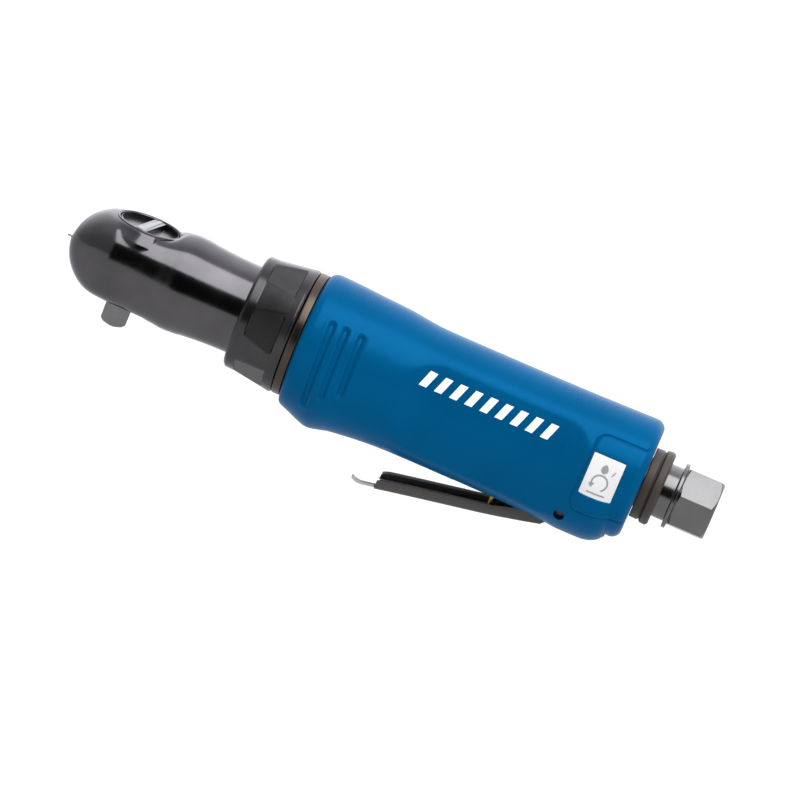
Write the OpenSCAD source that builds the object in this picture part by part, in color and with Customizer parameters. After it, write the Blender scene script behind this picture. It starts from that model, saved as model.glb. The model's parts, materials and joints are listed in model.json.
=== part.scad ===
// Air ratchet with a 1/4 inch square drive, drawn at real size in millimetres.
// Origin: on the drive axis, at the face a socket seats against.
// +X runs along the handle to the air inlet, +Z is up, the square points down.

/* [Node] */
// Name of the piece to draw, or all of them

/* [Head] */
// Height of the handle axis above the socket seat
axis_z = 14.6; // [13:0.1:17]
// Radius of the nose, seen from the side
nose_r = 14.7; // [14:0.1:15]
// Half width of the head, seen from above
head_r = 16.3; // [16:0.1:17]
// Distance of the nose tip in front of the drive axis
nose_tip = 22.8; // [22.5:0.1:24]
// Height of the flat top above the handle axis
top_flat = 13.85; // [12:0.05:14.5]
// Depth of the flat underside below the handle axis
bottom_flat = 14.0; // [12:0.05:14.5]
// Largest radius of the neck bulge
bulge_r = 16.6; // [15:0.1:18]
// Radius of the neck at the clamp nut
neck_r = 15.2; // [14:0.1:16]
// Radius of the recess for the reverse knob
recess_r = 10.4; // [9:0.1:11]
// Radius of the flat rim around the recess
rim_r = 11.5; // [11.4:0.1:12]

/* [Drive] */
// Across flats of the square drive
square = 6.35; // [6.35:0.01:6.35]
// Length of the square drive
square_len = 7.5; // [7:0.1:9]
// Angle of the square at rest, in degrees
square_angle = -35; // [-45:1:45]
// Teeth inside the yoke ring
yoke_teeth = 36; // [24:1:48]
// Offset of the eccentric pin
crank_e = 1.2; // [0.8:0.1:1.6]

/* [Reverse knob] */
// Radius of the knob disc
knob_r = 10.1; // [9:0.1:10.3]
// Width of the finger bar
bar_w = 2.3; // [1.8:0.1:4]
// Direction of the finger bar at rest, in degrees
bar_angle = 80; // [60:1:100]
// Throw of the knob, in degrees
knob_throw = 36; // [30:1:44]

/* [Clamp nut] */
// Front face of the nut
nut_x0 = 39.5; // [38:0.1:41]
// Rear face of the nut
nut_x1 = 57.2; // [55:0.1:58]
// Distance of the wrench flats from the axis, at their front edge
flat_r = 18.8; // [18.5:0.1:19.2]
// Slope of the wrench flats, in degrees
flat_slope = 3.8; // [0:0.1:5]
// Front edge of the wrench flats
flat_x = 43.3; // [43:0.1:44]
// Length of the wrench flats
flat_len = 10.5; // [9:0.1:11]
// Tilt of the first flat above level, in degrees
nut_tilt = 5.5; // [0:0.5:30]

/* [Grip] */
// Front face of the grip
grip_x0 = 60.6; // [60:0.1:62]
// Rear face of the grip
grip_x1 = 180; // [178:0.5:184]
// Drop of the lower arc's centre below the handle axis
lower_dz = 4; // [3:0.5:5]
// Half width of the flattened sides
side_half = 17.8; // [17:0.1:19]
// Radius of the flattened sides
side_r = 40; // [30:1:60]
// Half width of the lever slot
slot_half = 7.2; // [6.5:0.1:8]
// Width of each finger groove
groove_w = 2.3; // [2:0.1:3]

/* [Lever] */
// Pivot distance from the drive axis
pivot_x = 159.5; // [155:0.1:163]
// Pivot depth below the handle axis
pivot_dz = 16.9; // [16:0.1:18]
// Width of the lever channel
lever_w = 12.4; // [11:0.1:14]
// Height of the lever flanges
flange_h = 3.7; // [2.5:0.1:4]
// Width of the finger tongue
tongue_w = 9; // [7:0.5:12]
// Sheet thickness of the lever
sheet = 1.7; // [1.2:0.1:2.2]

/* [Gears] */
// Gear module
gear_m = 0.55; // [0.5:0.05:0.6]
// Teeth of the sun pinion
sun_t = 12; // [12:3:18]
// Teeth of each planet gear
planet_t = 15; // [12:3:18]
// Pressure angle, in degrees
pressure = 25; // [20:1:25]
// Backlash on each flank
backlash = 0.05; // [0.02:0.01:0.1]

/* [Motor] */
// Radius of the motor bore in the core
motor_r = 14.55; // [14:0.05:15]
// Radius of the rotor
rotor_r = 10.6; // [10:0.1:11]
// Radius of the bore in the cylinder
cyl_bore_r = 12; // [11.5:0.1:12.5]
// Offset of the cylinder bore
cyl_e = 1.2; // [1:0.1:1.5]
// Number of vanes
vane_count = 4; // [4:1:6]

/* [Inlet] */
// Across flats of the inlet hexagon
inlet_af = 19; // [17:1:22]
// End face of the inlet
inlet_x1 = 205.2; // [200:0.1:210]
// Wall radius of the inlet thread
inlet_r = 5.72; // [5.6:0.01:5.9]
// Length of the inlet thread
inlet_len = 13; // [12:0.5:16]

/* [Hidden] */
$fn = 64;

// Heights in the head
top_z = axis_z + top_flat;
bottom_z = axis_z - bottom_flat;
cav_z0 = 9.0;
cav_z1 = 20.2;
cav_r = 11.9;
ledge_z = 22.2;
seat_z = 25.0;
journal_r = 7.95;
collar_r = 5.5;
crest_r = 8.95;
ball_z = -3.7;
spindle_a = square_angle;

// Stations along the handle
fork_x = 20.3;
block_x0 = 24.8;
block_x1 = 37.2;
nut_step = 41.3;
hex_x0 = 192.6;
ring_x0 = 42.5;
ring_x1 = 51.5;
planet_x0 = ring_x0 + 0.2;
planet_len = 8.4;
plate_x0 = 52.5;
cyl_x0 = 59;
cyl_x1 = 98;
motor_x1 = 104.6;
valve_x = 137.5;
valve_z0 = -6.0;
valve_seat_z = 9.6;
ring_t = sun_t + 2 * planet_t;
orbit_r = gear_m * (sun_t + planet_t) / 2;
pivot_z = axis_z - pivot_dz;

// Colours
steel = [0.62, 0.62, 0.64];
dark = [0.13, 0.13, 0.14];
gunmetal = [0.2, 0.2, 0.21];
blue = [0.07, 0.18, 0.5];
brass = [0.75, 0.58, 0.28];
black = [0.08, 0.07, 0.07];
alu = [0.72, 0.73, 0.75];

// ---- helpers ----

// Puts a shape drawn along Z onto the handle axis, starting at x
module on_x(x = 0) translate([x, 0, axis_z]) rotate([0, 90, 0]) children();

// Solid round bar along the handle axis
module bar_x(x0, x1, r) on_x(x0) cylinder(r = r, h = x1 - x0);

// Tube along the handle axis
module tube_x(x0, x1, ro, ri) difference() {
  bar_x(x0, x1, ro);
  bar_x(x0 - 1, x1 + 1, ri);
}

// Body of revolution about the handle axis, from [radius, x] points
module spin_x(pts, dz = 0) translate([0, 0, dz]) on_x() rotate_extrude() polygon(pts);

// Tube along Z
module tube_z(z0, z1, ro, ri) translate([0, 0, z0]) difference() {
  cylinder(r = ro, h = z1 - z0);
  translate([0, 0, -1]) cylinder(r = ri, h = z1 - z0 + 2);
}

// Side outline in X and Z, extruded across the width
module side(pts, half) rotate([90, 0, 0]) translate([0, 0, -half])
  linear_extrude(2 * half) polygon(pts);

// Points of an arc
function arc(cx, cy, r, a0, a1, n) =
  [for (i = [0:n]) let (a = a0 + (a1 - a0) * i / n) [cx + r * cos(a), cy + r * sin(a)]];

// Coil of round wire along Z, as one closed sweep of small hexagons
module coil(r, wire, h, turns, steps = 12) let (n = steps * turns)
  polyhedron(points = [for (i = [0:n], k = [0:5]) let (a = 360 * i / steps,
      c = r + wire * cos(60 * k)) [c * cos(a), c * sin(a), wire + (h - 2 * wire) * i / n
      + wire * sin(60 * k)]],
    faces = concat([[for (k = [0:5]) k]], [[for (k = [5:-1:0]) 6 * n + k]],
      [for (i = [0:n - 1], k = [0:5]) let (a = 6 * i + k, b = 6 * i + (k + 1) % 6)
        [a, a + 6, b + 6, b]]));

// Involute helpers: roll angle at a radius, and the point it gives
function inv(a) = tan(a) * 180 / PI - a;
function flank_angle(rb, r) = inv(acos(min(1, rb / r)));

// Radial gear outline with the given tip and root radii and tooth half angle at the pitch
function gear_pts(t, r_tip, r_root, half) = let (
  rp = gear_m * t / 2, rb = rp * cos(pressure), n = 6,
  r0 = max(r_root, rb), at_p = flank_angle(rb, rp)
) [for (k = [0:t - 1]) let (c = 360 * k / t) each concat(
  [let (a = c - half - at_p + flank_angle(rb, r0)) [r_root * cos(a), r_root * sin(a)]],
  [for (i = [0:n]) let (r = r0 + (r_tip - r0) * i / n,
    a = c - half - at_p + flank_angle(rb, r)) [r * cos(a), r * sin(a)]],
  [for (i = [n:-1:0]) let (r = r0 + (r_tip - r0) * i / n,
    a = c + half + at_p - flank_angle(rb, r)) [r * cos(a), r * sin(a)]],
  [let (a = c + half + at_p - flank_angle(rb, r0)) [r_root * cos(a), r_root * sin(a)]]
)];

// Half the tooth angle at the pitch circle, thinned or widened by the backlash
function tooth_half(t, thin) = 90 / t - thin / (gear_m * t / 2) * 180 / PI;

// Outline of an external gear, tooth centred on angle 0
function spur(t) = gear_pts(t, gear_m * (t / 2 + 0.8), gear_m * (t / 2 - 1.1),
  tooth_half(t, backlash));

// ---- ratchet head ----

// Steps the neck from the head to the flange under the clamp nut
function head_profile() = concat(
  arc(0, head_r - nose_tip, head_r, -90, 0, 16),
  [[head_r, 9.5], [bulge_r, 15.4], [bulge_r, 17], [bulge_r - 0.2, 19.5], [bulge_r - 0.75, 24],
   [neck_r + 0.25, 31], [neck_r, 37], [neck_r, nut_step], [16.2, nut_step], [16.2, 44.6], [0, 44.6]]);

// Side outline of the head: a rounder nose, open towards the neck
function head_outline() = concat(arc(nose_r - nose_tip, axis_z, nose_r, 90, 270, 24),
  [[10, axis_z - nose_r], [16, axis_z - 20], [60, axis_z - 20],
   [60, axis_z + 20], [16, axis_z + 20], [10, axis_z + nose_r]]);

module ratchet_housing() color(gunmetal) difference() {
  union() {
    intersection() {
      spin_x(head_profile());
      side(head_outline(), 20);
    }
    translate([0, 0, axis_z]) cylinder(r = rim_r, h = top_flat);
  }
  side([[-25, top_z], [10.2, top_z], [13.8, top_z + 3.4], [-25, top_z + 3.4]], 20);
  side([[-25, bottom_z], [10.2, bottom_z], [13.8, bottom_z - 3.4], [-25, bottom_z - 3.4]], 20);
  translate([0, 0, -2]) cylinder(r = 8, h = 14);
  translate([0, 0, cav_z0]) cylinder(r = cav_r, h = cav_z1 - cav_z0);
  translate([0, -cav_r, cav_z0]) cube([13, 2 * cav_r, cav_z1 - cav_z0]);
  translate([0, 0, cav_z1 - 1]) cylinder(r = 8.8, h = 5);
  translate([0, 0, ledge_z]) cylinder(r = recess_r, h = 10);
  translate([0, 0, top_z - 0.7]) cylinder(r1 = recess_r - 0.05, r2 = recess_r + 0.75, h = 0.75);
  translate([0, 0, seat_z + 0.05]) cylinder(r = recess_r + 0.6, h = 1);
  bar_x(11, 26, 12.6);
  bar_x(block_x0, 46, 12.9);
  bar_x(ring_x0, 46, motor_r);
  on_x(-24) cylinder(r = 0.9, h = 8);
}

module nose_pin() color(steel) spin_x([[0, -24.2], [0.4, -24.2], [0.6, -24], [0.6, -22.6],
  [0.9, -22.4], [0.9, -16.2], [0, -16.2]]);

module ratchet_spindle() color(dark) difference() {
  union() {
    rotate([0, 0, spindle_a]) intersection() {
      translate([-square / 2, -square / 2, -square_len]) cube([square, square, square_len + 1]);
      rotate_extrude() polygon([[0, -square_len], [3.45, -square_len], [4.4, -square_len + 0.9],
        [4.4, 1], [0, 1]]);
    }
    rotate_extrude() polygon([[0, 0], [collar_r - 0.3, 0], [collar_r, 0.3], [collar_r, bottom_z],
      [journal_r, bottom_z], [journal_r, cav_z0 + 0.1], [8.5, cav_z0 + 0.1], [8.5, ledge_z + 0.65],
      [recess_r - 0.05, ledge_z + 0.65], [recess_r - 0.05, seat_z], [0, seat_z]]);
  }
  translate([0, 0, 12]) cylinder(r = 3.25, h = 14);
  rotate([0, 0, spindle_a]) {
    pawl_pocket();
    translate([5.7, 0, 8]) cylinder(r = 1, h = 14);
    translate([0, 0, ball_z]) rotate([-90, 0, 0]) cylinder(r = 1.25, h = 4);
    translate([0, -1, ball_z]) rotate([-90, 0, 0]) cylinder(r = 0.9, h = 3);
  }
}

// Side pocket that the pawl rocks in
module pawl_pocket() translate([0, 0, cav_z0 + 0.9]) linear_extrude(9.4)
  polygon([[2.6, -4.6], [1.9, -9], [12, -9], [12, 9], [1.9, 9], [2.6, 4.6]]);

module socket_ball() color(steel) rotate([0, 0, spindle_a])
  translate([0, square / 2 - 0.55, ball_z]) sphere(r = 1.2, $fn = 32);

module ball_spring() color(steel) rotate([0, 0, spindle_a])
  translate([0, -0.85, ball_z]) rotate([-90, 0, 0]) coil(0.6, 0.16, 2.1, 4);

module thrust_washer() color(brass) tube_z(ledge_z, ledge_z + 0.55, recess_r - 0.05, 8.95);

module retaining_ring() color(steel) difference() {
  tube_z(seat_z + 0.1, seat_z + 1, recess_r + 0.55, 9.15);
  rotate([0, 0, 200]) translate([0, -2, seat_z]) cube([14, 4, 2]);
}

// ---- reverse knob and pawl ----

module reverse_knob() color(dark) rotate([0, 0, bar_angle]) difference() {
  union() {
    translate([0, 0, seat_z + 1.1]) cylinder(r = knob_r, h = 2);
    translate([0, 0, seat_z + 0.05]) cylinder(r = 9.05, h = 1.5);
    translate([0, 0, 12.2]) cylinder(r = 3.2, h = 14);
    intersection() {
      translate([-knob_r, -bar_w / 2, seat_z + 2]) cube([2 * knob_r, bar_w, 1.5]);
      translate([0, 0, seat_z]) cylinder(r = knob_r - 0.1, h = 5);
    }
  }
  for (s = [-1, 1]) translate([0, 0, seat_z + 1.5]) linear_extrude(4) intersection() {
    circle(knob_r - 0.3);
    translate([-12, s > 0 ? bar_w / 2 : -12 - bar_w / 2]) square([24, 12]);
  }
  rotate([0, 0, plunger_a - bar_angle]) translate([0, 0, plunger_z]) rotate([0, 90, 0])
    translate([0, 0, -1.6]) cylinder(r = 0.9, h = 6);
}

// Middle height of the pawl, and direction of the plunger at rest
plunger_z = cav_z0 + 5.6;
plunger_a = spindle_a - knob_throw / 2;

module knob_plunger() color(steel) rotate([0, 0, plunger_a]) translate([1.6, 0, plunger_z])
  rotate([0, 90, 0]) rotate_extrude($fn = 32)
    polygon([[0, 0], [0.85, 0], [0.85, 1.75], [0.55, 2.1], [0, 2.2]]);

module knob_spring() color(steel) rotate([0, 0, plunger_a]) translate([-1.5, 0, plunger_z])
  rotate([0, 90, 0]) coil(0.6, 0.15, 3.0, 5);

// Pawl at mid position, then rocked to the rest stop
module pawl() color(steel) rotate([0, 0, spindle_a]) translate([5.7, 0, 0])
  rotate([0, 0, 5]) translate([-5.7, 0, cav_z0 + 1.1]) linear_extrude(9.0) difference() {
    polygon(concat(
      [[5.4, -6.75]], [for (k = [0:1]) each [
        [8.32 * cos(-47 + 4 * k), 8.32 * sin(-47 + 4 * k)],
        [7.75 * cos(-44 + 4 * k), 7.75 * sin(-44 + 4 * k)]]],
      arc(0, 0, 8.1, -36, 36, 10),
      [for (k = [1:-1:0]) each [
        [7.75 * cos(44 - 4 * k), 7.75 * sin(44 - 4 * k)],
        [8.32 * cos(47 - 4 * k), 8.32 * sin(47 - 4 * k)]]],
      [[5.4, 6.75], [4.3, 4.4], [3.75, 1.75]],
      arc(0, 0, 4.1, 25, -25, 6), [[3.75, -1.75], [4.3, -4.4]]));
    translate([5.7, 0]) circle(1.05);
  }

module pawl_pin() color(steel) rotate([0, 0, spindle_a]) translate([5.7, 0, 8.1])
  cylinder(r = 0.99, h = 13.8);

// ---- yoke and crank ----

module ratchet_yoke() color(steel) translate([0, 0, cav_z0 + 0.1]) linear_extrude(11) difference() {
  union() {
    circle(11.3);
    polygon([[2, -11.2], [9, -9.6], [13, -9.1], [fork_x, -9.1], [fork_x, 9.1], [13, 9.1],
      [9, 9.6], [2, 11.2]]);
  }
  polygon([for (i = [0:2 * yoke_teeth - 1]) let (r = i % 2 == 0 ? crest_r : 9.7,
    a = 180 * i / yoke_teeth) [r * cos(a), r * sin(a)]]);
  translate([12.9, -5.75]) square([10, 11.5]);
}

module drive_bushing() color(brass) translate([0, 0, crank_e]) difference() {
  spin_x([[0, 14], [2.7, 14], [3, 14.6], [3, 19.4], [2.7, 20], [0, 20]]);
  bar_x(13, 21, 2.2);
}

module crankshaft() color(steel) difference() {
  union() {
    translate([0, 0, crank_e]) bar_x(13.7, 22, 2.15);
    difference() {
      bar_x(21.2, 24.2, 7.6);
      translate([20, -9, axis_z + 5]) cube([6, 18, 9]);
    }
    bar_x(24, 38, 5.45);
    bar_x(37.8, 40.9, 9.4);
  }
  for (k = [0:2]) planet_at(k) translate([0, 0, 37]) cylinder(r = 1.4, h = 5);
}

// Puts a shape drawn along Z at a planet's place
module planet_at(k) on_x() rotate([0, 0, 120 * k]) translate([orbit_r, 0, 0]) children();

module planet_pins() color(steel) for (k = [0:2]) planet_at(k)
  translate([0, 0, 38]) cylinder(r = 1.4, h = planet_x0 + planet_len - 38);

// Planet gear with a tooth space facing the sun
module planet(k) color(steel) planet_at(k) translate([0, 0, planet_x0]) difference() {
  linear_extrude(planet_len) polygon(spur(planet_t));
  translate([0, 0, -1]) cylinder(r = 1.45, h = 11);
}
module planet_gear_1() planet(0);
module planet_gear_2() planet(1);
module planet_gear_3() planet(2);

module bearing_block() color(alu) difference() {
  bar_x(block_x0, block_x1, 12.9);
  bar_x(20, 40, 8.05);
}

module crank_bearing() color(steel) difference() {
  bar_x(25.2, 36.8, 8.05);
  bar_x(24, 38, 5.5);
  tube_x(27, 35, 7.2, 5.4);
}

module gear_spacer() color(steel) tube_x(block_x1, ring_x0, 12.9, 10.6);

module ring_gear() color(steel) difference() {
  bar_x(ring_x0, ring_x1, motor_r);
  on_x(ring_x0 - 1) linear_extrude(ring_x1 - ring_x0 + 2)
    polygon(gear_pts(ring_t, gear_m * (ring_t / 2 + 1.1),
      gear_m * (ring_t / 2 - 0.8), tooth_half(ring_t, -backlash)));
}

module gear_washer() color(steel) tube_x(ring_x1, plate_x0, motor_r, 5.2);

// ---- clamp nut ----

// Front face of the lock ring behind the nut
lock_x0 = nut_x1 + 0.2;

module clamp_nut() color(gunmetal) difference() {
  spin_x([[0, nut_x0], [18.6, nut_x0], [19.4, nut_x0 + 0.8], [19.5, flat_x - 0.4], [20.95, nut_x1 - 2.3],
    [21.35, nut_x1 - 0.8], [20.9, nut_x1], [0, nut_x1]]);
  for (k = [0:5]) on_x() rotate([0, 0, 60 * k + 90 - nut_tilt])
    translate([flat_r, -14, flat_x]) rotate([0, flat_slope, 0]) cube([10, 28, flat_len]);
  bar_x(38, 60, neck_r + 0.1);
  bar_x(nut_step, 60, 16.42);
}

module lock_ring() color(brass) difference() {
  spin_x([[0, lock_x0], [20.7, lock_x0], [21.1, lock_x0 + 0.4], [21.1, 60.1], [20.7, 60.5], [0, 60.5]]);
  bar_x(50, 62, 16.42);
}

// ---- vane motor ----

// Rotor bearing as one ring with ball grooves in both faces
module bearing(x0, x1, ro, ri) difference() {
  tube_x(x0, x1, ro, ri);
  let (m = (ro + ri) / 2, g = (ro - ri) * 0.18)
    for (x = [x0 - 1, x1 - 0.6]) tube_x(x, x + 1.6, m + g, m - g);
}

module front_end_plate() color(alu) difference() {
  bar_x(plate_x0, cyl_x0, motor_r);
  bar_x(plate_x0 - 1, 57.9, 9.5);
  bar_x(50, 60, 4.6);
  dowel_hole();
}

module front_rotor_bearing() color(steel) bearing(52.7, 57.9, 9.5, 4.05);

module rotor() color(steel) difference() {
  union() {
    on_x(planet_x0) linear_extrude(9.2) polygon(spur(sun_t));
    bar_x(51.7, 104, 4);
    bar_x(cyl_x0 + 0.15, cyl_x1 - 0.15, rotor_r);
  }
  for (k = [0:vane_count - 1]) on_x(cyl_x0 - 0.5) rotate([0, 0, 45 + 360 * k / vane_count])
    translate([5.4, -0.85, 0]) cube([8, 1.7, 40]);
}

module vanes() color(black) for (k = [0:vane_count - 1]) on_x(cyl_x0 + 0.2)
  rotate([0, 0, 45 + 360 * k / vane_count]) translate([5.5, -0.8, 0]) cube([5, 1.6, 38.6]);

module cylinder_liner() color(steel) difference() {
  bar_x(cyl_x0, cyl_x1, motor_r);
  translate([0, 0, -cyl_e]) bar_x(cyl_x0 - 1, cyl_x1 + 1, cyl_bore_r);
  dowel_hole();
  for (x = [68, 74, 80, 86]) translate([x, 0, axis_z]) rotate([50, 0, 0]) cylinder(r = 1.6, h = 20);
  translate([94, 0, axis_z]) rotate([-50, 0, 0]) cylinder(r = 1.8, h = 20);
}

module dowel_hole() translate([0, 0, 12.75]) bar_x(55, 102, 0.9);

module cylinder_pin() color(steel) translate([0, 0, 12.75]) bar_x(56, 101.5, 0.9);

module rear_end_plate() color(alu) difference() {
  bar_x(cyl_x1, motor_x1, motor_r);
  bar_x(99.6, 106, 8);
  bar_x(90, 110, 4.6);
  dowel_hole();
  translate([0, 0, -10.8]) bar_x(90, 110, 1.6);
}

module rear_rotor_bearing() color(steel) bearing(99.6, 104.4, 8, 4.05);

// ---- housing core and grip ----

// Air way from the valve to the motor, below the handle axis
air_dz = -10.2;

module housing_core() color(alu) difference() {
  union() {
    bar_x(44.8, grip_x0 + 0.1, 16.4);
    bar_x(grip_x0, 109, 16.2);
    spin_x([[0, 108], [16.2, 108], [16.2, 109], [13.4, 112], [13.4, 176], [0, 176]]);
  }
  bar_x(40, motor_x1, motor_r);
  tube_x(43, 46.4, 18, 16.0);
  translate([0, 0, air_dz]) bar_x(102, valve_x, 2.6);
  bar_x(valve_x, 178, 4.4);
  bar_x(163, 178, 8.6);
  translate([valve_x, 0, -10]) cylinder(r = 6.5, h = 10 + 23);
  translate([valve_x, 0, -10]) cylinder(r = 7.2, h = 10.6);
  for (x = [69, 76, 83]) translate([x, 0, axis_z]) rotate([50, 0, 0])
    translate([0, 0, 12]) cylinder(r = 2.2, h = 8);
}

// Rear end of the belly, and the outlines of the grip as [radius, x]
lower_x1 = 175.6;
function upper_profile() = [[20.9, grip_x0], [22.3, 62], [22.8, 64.5], [22.5, 72], [22.0, 80],
  [21.5, 89], [20.7, 96], [20.2, 103], [20.1, 122], [20.1, 140], [20.2, 154], [20.4, 165],
  [20.6, 176.5], [20.4, 178.2], [19.6, 179.4], [18.2, grip_x1]];
function lower_profile() = [[18.4, grip_x0], [19.6, 61.6], [22.6, 69.5], [23.2, 72],
  [23.0, 74], [21.8, 79.5], [20.7, 89], [20.2, 97], [20.1, 105], [20.1, 122], [20.3, 140],
  [20.8, 154], [21.3, 160], [21.3, 167], [21.1, 169.5], [20.5, 171.8], [19.4, 173.8],
  [17.8, 175.3], [16.8, lower_x1]];

// Half width of the flattened sides along the grip, easing in and out
function ease(t) = (1 - cos(180 * min(1, max(0, t)))) / 2;
function half_at(x) = side_half + 6 * (1 - min(ease((x - 84) / 24), ease((174 - x) / 24)));
function waist() = concat([[50, 24]], [for (x = [84:3:108]) [x, half_at(x)]],
  [for (x = [150:3:174]) [x, half_at(x)]], [[190, 24]]);

// Cutter with rounded sides: the half width is reached at mid height
module side_cutter() for (s = [-1, 1]) mirror([0, s < 0 ? 1 : 0, 0]) difference() {
  translate([80, 10, -30]) cube([98, 30, 80]);
  translate([0, side_half - side_r, axis_z - lower_dz / 2]) rotate([0, 90, 0])
    translate([0, 0, 40]) rotate_extrude($fn = 180) polygon(concat([[0, 10]],
      [for (p = waist()) [side_r + p.y - side_half, p.x - 40]], [[0, 150]]));
}

module grip_outer() difference() {
  union() {
    spin_x(concat([[0, grip_x0]], upper_profile(), [[0, grip_x1]]));
    spin_x(concat([[0, grip_x0]], lower_profile(), [[0, lower_x1]]), -lower_dz);
  }
  side_cutter();
}

module grip_shell() color(blue) difference() {
  grip_outer();
  bar_x(50, 112.1, 16.25);
  bar_x(110, 168, 13.45);
  bar_x(166, 177, 16.6);
  bar_x(176, 182, 12.9);
  exhaust_way();
  lever_slot();
  translate([pivot_x, 30, pivot_z]) rotate([90, 0, 0]) cylinder(r = 1.52, h = 60);
  for (s = [-1, 1]) translate([pivot_x, s * 12.6, pivot_z]) rotate([-90 * s, 0, 0])
    cylinder(r = 2.1, h = 12);
  translate([valve_x, 0, -10]) cylinder(r = 7.2, h = 14);
  finger_grooves();
  label_pocket(0.5);
}

// Exhaust way over the core, from the motor to the chamber behind it
module exhaust_way() on_x(66) rotate([0, 0, 180 - 33]) rotate_extrude(angle = 66)
  translate([13, 0]) square([5.2, 101]);

// Slot in the underside that the lever works in
module lever_slot() {
  translate([123, -slot_half, -30]) cube([22, 2 * slot_half, 24.5]);
  translate([144, -slot_half, -30]) cube([24.6, 2 * slot_half, 31.3]);
}

// Three raked grooves on each side of the belly
module finger_grooves() for (g = [[68.8, 41], [73.6, 29], [79, 23]])
  on_x(g[0] - groove_w / 2) for (s = [-1, 1])
    rotate([0, 0, s > 0 ? -90 - groove_top : 90 - g[1]]) rotate_extrude(angle = g[1] + groove_top)
      translate([21.6, 0]) square([5, groove_w]);
groove_top = 34;

// Pocket and plate of the label on the left side, and its middle height
label_z = axis_z + 1.3;
module label_pocket(d) intersection() {
  tube_band(21.3 - d, 22.5);
  translate([162.3, -30, label_z - 7.25]) cube([11, 30, 14.5]);
}
module tube_band(ri, ro) translate([0, 0, -lower_dz]) tube_x(160, 176, ro, ri);

module label_plate() color([0.9, 0.9, 0.9]) intersection() {
  tube_band(20.85, 21.35);
  translate([162.4, -30, label_z - 7.15]) cube([10.8, 30, 14.3]);
}

// ---- throttle ----

// Underside of the lever from the tongue to the pivot, and where its flanges start
lever_low = [[92.6, -23.4], [99.5, -22.35], [123.2, -17.7], [137, -15.05], [147.4, -12.7], [155, -10.8]];
flange_x0 = 100.4;
flange_z0 = -22.15;

// Moves a run of points up
function lift(pts, dz) = [for (p = pts) [p.x, p.y + dz]];
function back(pts) = [for (i = [len(pts) - 1:-1:0]) pts[i]];

module throttle_lever() color(dark) difference() {
  union() {
    intersection() {
      side(concat(lever_low, back(lift(lever_low, sheet))), lever_w / 2);
      linear_extrude(60, center = true) union() {
        translate([92 + tongue_w / 2, 0]) circle(tongue_w / 2);
        translate([92 + tongue_w / 2, -tongue_w / 2]) square([12, tongue_w]);
        translate([flange_x0, -lever_w / 2]) square([60, lever_w]);
      }
    }
    for (s = [-1, 1]) translate([0, s * (lever_w - sheet) / 2, 0])
      side(concat([[flange_x0, flange_z0]], [for (p = lever_low) if (p.x > flange_x0) p], [[160.4, -5.2]],
        arc(pivot_x, pivot_z, 3, -60, 130, 8), [[148, -7.4], [138, lever_z(138) + flange_h],
        [flange_x0, flange_z0 + flange_h]]), sheet / 2);
  }
  translate([pivot_x, 20, pivot_z]) rotate([90, 0, 0]) cylinder(r = 1.6, h = 40);
}

// Height of the lever's underside at a station
function lever_z(x) = lookup(x, lever_low);

module lever_pin() color(steel) translate([pivot_x, 12.5, pivot_z]) rotate([90, 0, 0])
  cylinder(r = 1.52, h = 25);

module throttle_valve() color(brass) translate([valve_x, 0, 0]) {
  translate([0, 0, stem_z0]) cylinder(r = 1.3, h = valve_seat_z - stem_z0 + 1);
  translate([0, 0, valve_seat_z + 1]) cylinder(r = 4.4, h = 1.6);
  translate([0, 0, valve_seat_z + 2]) cylinder(r = 1.6, h = 2);
}
stem_z0 = lever_z(valve_x + 1.3) + sheet + 0.2;

module valve_seal() color(black) translate([valve_x, 0, 0])
  tube_z(valve_seat_z + 0.02, valve_seat_z + 1, 4.3, 1.3);

module valve_bushing() color(brass) translate([valve_x, 0, 0]) difference() {
  translate([0, 0, valve_z0]) cylinder(r = 6.5, h = valve_seat_z - valve_z0);
  translate([0, 0, valve_z0 - 1]) cylinder(r = 1.38, h = 20);
  translate([0, 0, 1]) cylinder(r = 4.2, h = 7);
  translate([0, 0, 7]) cylinder(r = 3, h = 5);
  translate([0, 0, axis_z + air_dz]) rotate([0, 90, 0]) cylinder(r = 2.6, h = 20, center = true);
  tube_z(-3.2, -1.6, 8, 5.6);
}

module valve_o_ring() color(black) translate([valve_x, 0, -2.4]) rotate_extrude()
  translate([6.18, 0]) circle(0.55, $fn = 24);

module valve_spring() color(steel) translate([valve_x, 0, valve_seat_z + 2.65])
  coil(2.6, 0.35, 10.6, 4);

// ---- rear end ----

module muffler_ring() color(black) tube_x(168.6, 174, 16.5, 13.5);

module inlet_bushing() color(steel) difference() {
  union() {
    bar_x(163.2, 180.6, 8.6);
    bar_x(180, 191.5, 9.15);
    spin_x([[0, 191], [10.8, 191], [11.15, 191.35], [11.15, 192.25], [10.8, hex_x0], [0, hex_x0]]);
    intersection() {
      on_x(hex_x0 - 0.5) rotate([0, 0, 12])
        cylinder(r = inlet_af / 2 / cos(30), h = inlet_x1 - hex_x0 + 0.5, $fn = 6);
      spin_x([[0, hex_x0 - 0.5], [10.2, hex_x0 - 0.5], [10.2, hex_x0], [11.2, hex_x0 + 0.7],
        [11.2, inlet_x1 - 1.2], [9.3, inlet_x1], [0, inlet_x1]]);
    }
  }
  bar_x(inlet_x1 - inlet_len, 210, inlet_r);
  bar_x(186, 200, 5.2);
  bar_x(160, 190, 4.4);
  on_x(inlet_x1 - 0.9) cylinder(r1 = inlet_r - 0.05, r2 = inlet_r + 0.9, h = 0.95);
}

module inlet_o_ring() color(black) on_x(179.3) rotate_extrude() translate([9.3, 0]) circle(0.65, $fn = 24);

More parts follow.
